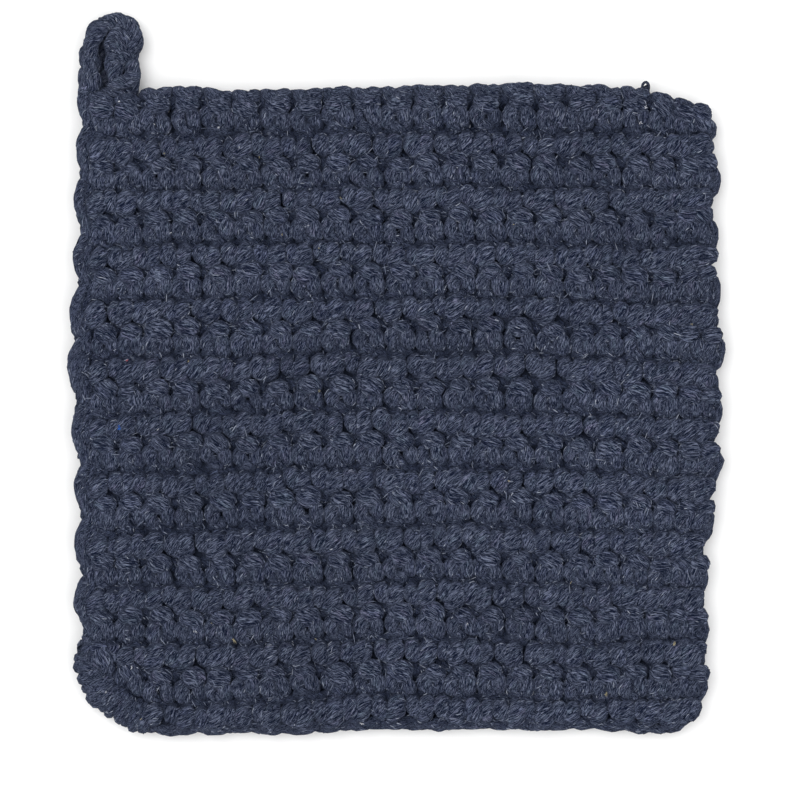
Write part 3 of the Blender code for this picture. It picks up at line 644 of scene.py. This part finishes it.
# Along the left edge the yarn climbs two rows at a time, in a long strand that lies on the outside.
for (ya, _), (yb, _) in zip(NOTCH_L[:-1], NOTCH_L[1:]):
    h = yb - ya
    path = []
    for f, ins, z, r in ((-0.10, 14.0, 0.0, 5.0), (0.04, 9.0, 6.0, 5.6), (0.24, 5.4, 7.6, 6.2), (0.50, 5.4, 8.0, 6.4), (0.74, 6.8, 7.8, 6.2), (0.93, 10.5, 6.4, 5.8), (1.06, 15.5, 0.0, 5.4)):
        y = ya + f * h
        path.append((float(np.interp(y, OUT_LY, OUT_LX)) + ins + RNG.normal(0, 0.3), y + RNG.normal(0, 0.8), z + RNG.normal(0, 0.4), r * (1 + RNG.normal(0, 0.04))))
    q = catmull(path, 7)
    corner_yarn.tube(np.stack([q[:, 0], -q[:, 1], q[:, 2]], 1), q[:, 3], lay=0.5)
y = np.arange(94.0, 646.0, 6.0)
q = np.stack([np.interp(y, OUT_LY, OUT_LX) + 13.0 + RNG.normal(0, 0.5, len(y)), -y, 4.0 + RNG.normal(0, 0.8, len(y))], 1)
corner_yarn.tube(q, 7.2 + RNG.normal(0, 0.4, len(y)), lay=0.6)

# ---------------------------------------------------------------- foundation chain
found = Yarn("foundation_chain")
for ph in (0.0, math.pi):
    u = np.arange(60.0, 700.0, 2.0)
    x = u.copy()
    yb = np.interp(x, [60, 90, 114, 126, 138, 150, 168, 186, 252, 306, 342, 420, 513, 600, 636, 654, 678, 690, 702, 715], [690, 704, 720, 724, 728, 732, 735, 735, 733, 732.5, 730, 730, 729, 730, 732.5, 732, 729, 719, 713, 706])
    a = u / 59.2 * 2 * np.pi + ph
    y = yb - 9.5 + 3.6 * np.cos(a)
    z = 4.2 * np.sin(a)
    x, y = wobble(x, y)
    m = (u > 136) & (u < 700)
    found.tube(np.stack([x, -y, z], 1)[m], np.full(m.sum(), 5.6), loose=1.2)

# a small end of thin ply that loops out of the top edge
end_yarn = Yarn("yarn_end")
for path in ([(643.5, 95.0, 1.0, 1.5), (642.4, 88.0, 1.5, 1.5), (643.4, 83.4, 2.0, 1.4), (646.6, 81.8, 2.0, 1.4), (649.0, 85.0, 1.0, 1.4), (648.4, 92.0, 0.0, 1.4)],
             [(645.0, 95.0, -1.0, 1.5), (644.8, 89.0, -1.0, 1.6), (646.2, 85.4, -0.5, 1.5), (648.0, 89.0, -1.5, 1.4)]):
    q = catmull(path, 6)
    end_yarn.tube(np.stack([q[:, 0], -q[:, 1], q[:, 2]], 1), q[:, 3], step=1.3, loose=1.0, sides=8, squash=1.0)

# ---------------------------------------------------------------- put together
all_yarns = [*groups.values(), found, corner_yarn, loop_yarn, end_yarn]
z_min = min(float(np.vstack(y.v)[:, 2].min()) for y in all_yarns)
for y_ in all_yarns:
    if y_ is end_yarn:
        y_.tone = [np.full(len(v_), 0.9) for v_ in y_.v]
    elif y_ is loop_yarn:
        # painted shade on the loop: each strand that rises above the cloth is coloured darker the lower it lies;
        # strands wholly underneath keep their full colour
        for k_, v_ in enumerate(y_.v):
            y_.tone[k_] = np.clip((v_[:, 2] - (-9.0)) / 16.0, 0, 1) if v_[:, 2].max() > 0 else np.ones(len(v_))
    else:
        # painted shade on the rows, chain and corner strands: darker deep between the strands
        y_.shade_depth(3.0, 12.5)
pieces = [y.build(z_min, YARN) for y in all_yarns]


class Hairs(Yarn):
    """Loose fibres that stand a little off the yarn."""

    def hairs(self, q, r, tone):
        """q: (count, 4, 3), r: (count,). Closed spindles: a tip, two rings of three and a tip."""
        m = len(q)
        T = q[:, 2] - q[:, 1]; T /= np.linalg.norm(T, axis=1)[:, None] + 1e-9
        U = np.cross(T, np.broadcast_to(np.array([0.31, 0.17, 0.93]), T.shape)); U /= np.linalg.norm(U, axis=1)[:, None] + 1e-9
        W = np.cross(T, U)
        a = np.arange(3) * 2 * np.pi / 3
        ring = r[:, None, None] * (np.cos(a)[None, :, None] * U[:, None] + np.sin(a)[None, :, None] * W[:, None])
        v = np.concatenate([q[:, 0:1], q[:, 1:2] + ring, q[:, 2:3] + ring * 0.8, q[:, 3:4]], 1)      # 8 points each
        base = (np.arange(m) * 8)[:, None, None]
        f4 = np.array([[1 + j, 1 + (j + 1) % 3, 4 + (j + 1) % 3, 4 + j] for j in range(3)])
        f3 = np.array([[0, 1 + (j + 1) % 3, 1 + j] for j in range(3)] + [[7, 4 + j, 4 + (j + 1) % 3] for j in range(3)])
        self.v.append(v.reshape(-1, 3)); self.f4.append((base + f4[None]).reshape(-1, 4) + self.n); self.f3.append((base + f3[None]).reshape(-1, 3) + self.n)
        k = m * 8
        self.n += k
        self.s.append(np.repeat(RNG.uniform(0, 4000, m), 8)); self.ca.append(np.full(k, 1.0)); self.sa.append(np.zeros(k))
        self.tone.append(np.repeat(tone, 8))


def on_surface(grid, si, ai):
    """Points of a tube's skin at fractional ring and side indices, and its centre line there."""
    V, C = grid[0], grid[1]
    n, m = V.shape[:2]
    si = np.clip(si, 0, n - 1.001); i = si.astype(int); f = (si - i)[..., None]
    j = np.floor(ai).astype(int); g = (ai - j)[..., None]; j0, j1 = j % m, (j + 1) % m
    p = (V[i, j0] * (1 - f) + V[i + 1, j0] * f) * (1 - g) + (V[i, j1] * (1 - f) + V[i + 1, j1] * f) * g
    return p, C[i] * (1 - f) + C[i + 1] * f


# Short fibres lie all over the strands, most of them close to the surface; a few stand off it.
N_FIB = 32000
grids = [g for y in all_yarns for g in y.grids]
total = sum(g[2][-1] for g in grids)
FQ, FR, FT = [], [], []
tt = np.array([0.0, 0.33, 0.67, 1.0]) - 0.5
for g in grids:
    m = int(round(5.0 * N_FIB * g[2][-1] / total))
    if m < 1: continue
    s0, a0 = RNG.uniform(0, g[2][-1], m), RNG.uniform(0, g[0].shape[1], m)
    L = RNG.gamma(6.0, 1.25, m).clip(3, 15)
    th = np.interp(s0, g[2], g[4]) + RNG.normal(0.04, 0.36, m)
    loose_ = RNG.uniform(size=m) < 0.13
    ss_ = s0[:, None] + (L * np.cos(th))[:, None] * tt
    si = np.interp(ss_, g[2], np.arange(len(g[2])))
    rad_ = np.interp(s0, g[2], g[3])
    ai = a0[:, None] + (L * np.sin(th) / (2 * np.pi * rad_) * g[0].shape[1])[:, None] * tt
    p, c = on_surface(g, si, ai)
    o = (p - c) * [1, 1, 1.5]; o /= np.linalg.norm(o, axis=2)[..., None] + 1e-9
    lift = 0.22 + np.where(loose_, RNG.uniform(0.5, 2.4, m), 0.0)[:, None] * (tt + 0.5) ** 1.5
    lift[:, 0] -= 0.5; lift[:, 3] -= np.where(loose_, 0.0, 0.5)
    q = p + o * lift[..., None]
    # some cross from one strand to the next
    px_, py_ = p[:, 1, 0], -p[:, 1, 1]
    inner = np.minimum(np.minimum(px_ - np.interp(py_, BULGE_LY, BULGE_LX), np.interp(py_, BULGE_RY, BULGE_RX) - px_), np.minimum(py_ - 90.0, 731.0 - py_)) > 13.0
    inner &= (px_ - 75.0) + (736.0 - py_) > 78.0
    q = np.where((loose_ & ~inner)[:, None, None], p + o * 0.2, q)
    cross = (RNG.uniform(size=m) < 0.16) & (np.abs(o[:, 1, 2]) < 0.93) & inner
    h = o[:, 1, :2] / (np.linalg.norm(o[:, 1, :2], axis=1)[:, None] + 1e-6)
    turn_ = RNG.normal(0, 0.7, m); ct, st = np.cos(turn_), np.sin(turn_)
    h = np.stack([h[:, 0] * ct - h[:, 1] * st, h[:, 0] * st + h[:, 1] * ct], 1)
    w = (np.sign(o[:, 1, 2]) * 0.9)[:, None] * np.array([-0.6, 0.5, 0.9, 0.5])
    chord = np.concatenate([p[:, 1, None, :2] + h[:, None] * (L[:, None] * (tt + 0.32))[..., None], (p[:, 1, 2][:, None] + w)[..., None]], 2)
    q = np.where(cross[:, None, None], chord, q)
    mid, om = q[:, 1], o[:, 1]
    x, y = mid[:, 0], -mid[:, 1]
    border = np.minimum(np.minimum(x - np.interp(y, BULGE_LY, BULGE_LX), np.interp(y, BULGE_RY, BULGE_RX) - x), np.minimum(y - 88.0, 733.0 - y))
    score = np.where(om[:, 2] > 0.12, 1.0, 0.0) * np.clip((mid[:, 2] - 3) / 5, 0, 1) + np.where(om[:, 2] < -0.25, 0.27, 0.0) * np.clip((-mid[:, 2] - 4) / 5, 0, 1)
    score = np.maximum(score, np.where((border < 9.0) & (np.abs(om[:, 2]) < 0.8), 0.5, 0.0))
    keep = RNG.uniform(size=m) < score
    FQ.append(q[keep]); FR.append(RNG.uniform(0.30, 0.52, m)[keep]); FT.append(np.where(loose_, RNG.uniform(0.1, 0.62, m), RNG.uniform(0, 1, m) ** 1.15)[keep])
FQ, FR, FT = np.concatenate(FQ), np.concatenate(FR), np.concatenate(FT)
if len(FQ) > N_FIB:
    sel = RNG.choice(len(FQ), N_FIB, replace=False)
    FQ, FR, FT = FQ[sel], FR[sel], FT[sel]
FQ[..., 2] = np.maximum(FQ[..., 2], z_min + 0.3)
fibre_yarns = []
for k_, sel in enumerate(np.array_split(np.argsort(FQ[:, 0, 0], kind="stable"), 2)):
    h_ = Hairs(f"wool_fibres_{k_ + 1}")
    h_.hairs(FQ[sel], FR[sel], FT[sel])
    fibre_yarns.append(h_)

# Odd coloured flecks: place, kind (0 white, 1 lilac, 2 blue, 3 reddish, 4 straw), count of fibres, length, direction
FLECKS = [
    (120, 102, 0, 4, 2.6, 0.4), (219, 128, 0, 4, 2.4, 1.2), (432.5, 653, 0, 5, 2.4, 0.2), (645, 108, 0, 6, 2.8, 0.8), (640, 123, 0, 6, 2.8, 2.0),
    (132, 667, 0, 5, 2.4, 0.6), (196, 631, 0, 5, 2.4, 1.5), (362, 723, 0, 5, 2.4, 0.1), (86, 89, 1, 9, 5.0, 0.9), (125, 370, 2, 12, 3.4, 0.3),
    (120, 428, 2, 8, 3.0, 0.9), (127, 361, 3, 7, 3.0, 1.0), (605, 693, 4, 3, 9.0, 1.1), (612, 684, 4, 3, 8.0, 0.5), (234, 640, 4, 3, 9.0, 1.9), (673, 643, 4, 4, 7.0, 0.7),
]
for _k in range(110):
    FLECKS.append((RNG.uniform(92, 700), RNG.uniform(100, 722), int(RNG.choice([0, 1, 1, 1, 1, 4])), int(RNG.randint(1, 3)), RNG.uniform(2.4, 5.0), RNG.uniform(0, math.pi)))
cloud = np.vstack([v_ for y in all_yarns for v_ in y.v])
cloud = cloud[cloud[:, 2] > 0]
fleck_yarn = Hairs("odd_flecks")
GQ, GR, GT = [], [], []
for fx, fy, kind, count, ln, ang in FLECKS:
    near = cloud[(np.abs(cloud[:, 0] - fx) < 2.6) & (np.abs(cloud[:, 1] + fy) < 2.6)]
    if not len(near): continue
    top = float(near[:, 2].max()) - 0.3
    for _k in range(count):
        a_ = ang + RNG.normal(0, 0.45); l_ = ln * RNG.uniform(0.7, 1.15)
        cxy = np.array([fx, -fy]) + RNG.normal(0, 0.28 * ln if ln < 6 and count > 2 else 0.4, 2)
        bend = RNG.normal(0, 0.10) * l_
        pts = [(cxy[0] + l_ * t_ * math.cos(a_) - bend * (1 - 4 * t_ * t_) * math.sin(a_), cxy[1] + l_ * t_ * math.sin(a_) + bend * (1 - 4 * t_ * t_) * math.cos(a_), top + 0.9 - 2.2 * abs(t_)) for t_ in tt]
        GQ.append(pts); GR.append(RNG.uniform(0.34, 0.5)); GT.append(0.2 * kind + 0.1)
fleck_yarn.hairs(np.array(GQ), np.array(GR), np.array(GT))

# painted shade: a thin closed sheet inside the cloth that fills the spaces between the strands; it stands in for the
# deeper strands and is coloured near black, darker than the wool, as their shade
def painted_shade_sheet():
    left = [(float(np.interp(y, BULGE_LY, BULGE_LX)) + 15, y) for y in np.arange(112.0, 700.0, 14.0)]
    right = [(float(np.interp(y, BULGE_RY, BULGE_RX)) - 15, y) for y in np.arange(112.0, 700.0, 14.0)]
    nx = 44
    rowsv = []
    for (xl, y), (xr, _) in zip(left, right):
        rowsv.append([(xl + (xr - xl) * i / nx, y) for i in range(nx + 1)])
    g = np.array(rowsv)
    h, w = g.shape[:2]
    co = []
    for zz in (1.0, -1.0):
        for a in g.reshape(-1, 2):
            co.append(((a[0] - X0) * PX, (Y0 - float(corner(a[0], a[1]))) * PX, (zz * 2.0 - z_min) * PX))
    f = []
    n = h * w
    for i in range(h - 1):
        for k in range(w - 1):
            a, b, c, d = i * w + k, i * w + k + 1, (i + 1) * w + k + 1, (i + 1) * w + k
            f.append((a, d, c, b)); f.append((n + a, n + b, n + c, n + d))
    border = [k for k in range(w)] + [i * w + w - 1 for i in range(1, h)] + [(h - 1) * w + k for k in range(w - 2, -1, -1)] + [i * w for i in range(h - 2, 0, -1)]
    for a, b in zip(border, border[1:] + border[:1]):
        f.append((a, b, n + b, n + a))
    me = bpy.data.meshes.new("painted_shade_sheet"); me.from_pydata(co, [], f); me.update()
    ob = bpy.data.objects.new("painted_shade_sheet", me); bpy.context.scene.collection.objects.link(ob)
    return ob


FIBRE = fibre_material("wool_fibre")
pieces += [h_.build(z_min, FIBRE) for h_ in fibre_yarns] + [fleck_yarn.build(z_min, fleck_material("odd_wool"))]
print("TRIANGLES", sum(y.triangles() for y in all_yarns + fibre_yarns), [y.triangles() for y in all_yarns + fibre_yarns])
shade_sheet = painted_shade_sheet()
# the sheet's near-black colour is painted shade
shade_sheet.data.materials.append(mottled_material("painted_shade_ground", (0.004, 0.007, 0.016), (0.009, 0.013, 0.027), 900.0))
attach(shade_sheet, "root")
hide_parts("crochet_panel")
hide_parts("hanging_loop")

# ---------------------------------------------------------------- floor, light, camera
bpy.ops.mesh.primitive_plane_add(size=6.0, location=(0, 0, 0))
floor = bpy.context.object; floor.name = "floor"
floor.data.materials.append(mottled_material("floor_white", (0.885, 0.885, 0.885), (0.90, 0.90, 0.90), 6.0))

world = bpy.data.worlds.new("studio"); bpy.context.scene.world = world; world.use_nodes = True
bg = world.node_tree.nodes["Background"]
bg.inputs[0].default_value = (1, 1, 1, 1); bg.inputs[1].default_value = 0.98


def area(name, loc, size, power, target=(0, 0, 0), color=(1, 1, 1)):
    li = bpy.data.lights.new(name, "AREA"); li.energy = power; li.size = size; li.color = color
    ob = bpy.data.objects.new(name, li); bpy.context.scene.collection.objects.link(ob)
    ob.location = loc
    d = np.array(target, float) - np.array(loc, float)
    from mathutils import Vector
    ob.rotation_euler = Vector(d).to_track_quat("-Z", "Y").to_euler()
    return ob


area("key", (-0.50, 0.30, 1.35), 0.9, 8.0)
area("fill", (0.6, -0.35, 1.3), 1.1, 4.0)

cam = bpy.data.cameras.new("camera"); cam_o = bpy.data.objects.new("camera", cam)
bpy.context.scene.collection.objects.link(cam_o)
cam.lens = 135.0; cam.sensor_width = 36.0
cx, cy = (400.0 - X0) * PX, (Y0 - 400.0) * PX
z_ref = 0.0065
cam_o.location = (cx, cy, z_ref + 400.0 * PX / (18.0 / 135.0))
cam_o.rotation_euler = (0, 0, 0)
cam.clip_start, cam.clip_end = 0.05, 20.0
bpy.context.scene.camera = cam_o
bpy.context.scene.view_settings.view_transform = "Standard"
bpy.context.scene.view_settings.look = "None"
